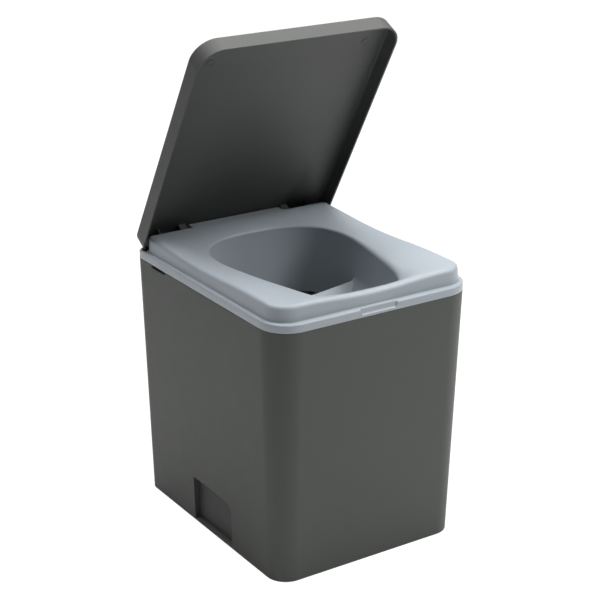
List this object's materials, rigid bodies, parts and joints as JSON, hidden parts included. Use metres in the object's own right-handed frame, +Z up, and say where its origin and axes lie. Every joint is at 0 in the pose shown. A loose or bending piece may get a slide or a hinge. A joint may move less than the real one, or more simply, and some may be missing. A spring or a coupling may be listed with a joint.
{
  "type": "composting toilet",
  "caption": "Dry separating toilet: tapered casing, dished seat with a urine separator, tilting lid, and a lift-out urine canister and solids bucket inside.",
  "frame": {"origin": "on the floor, below the middle of the casing", "axes": "+Z up, the toilet's front faces -Y, +X is to the right for someone who stands in front and looks at it"},
  "size_m": [0.332, 0.397, 0.7373],
  "materials": {
    "casing_plastic": "fine satin texture, dark anthracite",
    "lid_plastic": "satin, dark anthracite",
    "seat_plastic": "smooth satin, pale blue grey",
    "milky_plastic": "natural milky plastic",
    "bucket_plastic": "satin, near black",
    "rubber": "matt black",
    "pin_steel": "drawn wire and turned pins"
  },
  "bodies": {
    "casing": {"casing_shell": "casing_plastic", "foot_front_left": "rubber", "foot_front_right": "rubber", "foot_rear_left": "rubber", "foot_rear_right": "rubber"},
    "seat": {"seat": "seat_plastic", "separator": "seat_plastic", "spout_seal": "rubber", "hinge_pin_left": "pin_steel", "hinge_pin_right": "pin_steel"},
    "lid": {"lid_shell": "lid_plastic", "lid_buffer_left": "lid_plastic", "lid_buffer_right": "lid_plastic"},
    "canister": {"urine_canister": "milky_plastic", "canister_neck": "milky_plastic", "canister_grip_left": "milky_plastic", "canister_grip_right": "milky_plastic", "canister_collar": "lid_plastic", "collar_gasket": "rubber"},
    "bucket": {"solids_bucket": "bucket_plastic", "liner_ring": "milky_plastic"},
    "bail": {"bucket_bail": "pin_steel", "bail_grip": "bucket_plastic"}
  },
  "joints": [
    {"name": "seat_lift", "type": "slide", "parent": "casing", "child": "seat", "axis": [0, 0, 1], "range_m": [0, 0.6]},
    {"name": "lid_hinge", "type": "hinge", "parent": "seat", "child": "lid", "pos_m": [0, 0.1766, 0.4051], "axis": [-1, 0, 0], "range_deg": [-60.5, 37.5]},
    {"name": "canister_lift", "type": "slide", "parent": "casing", "child": "canister", "axis": [0, 0, 1], "range_m": [0, 0.38]},
    {"name": "bucket_lift", "type": "slide", "parent": "casing", "child": "bucket", "axis": [0, 0, 1], "range_m": [0, 0.38]},
    {"name": "bail_swing", "type": "hinge", "parent": "bucket", "child": "bail", "pos_m": [0, 0.0715, 0.272], "axis": [1, 0, 0], "range_deg": [0, 91]}
  ],
  "couplings": [
    {"joint": "canister_lift", "follows": "seat_lift", "ratio": 0.63},
    {"joint": "bucket_lift", "follows": "seat_lift", "ratio": 0.63},
    {"joint": "bail_swing", "follows": "seat_lift", "rad_per_m": 2.618}
  ]
}
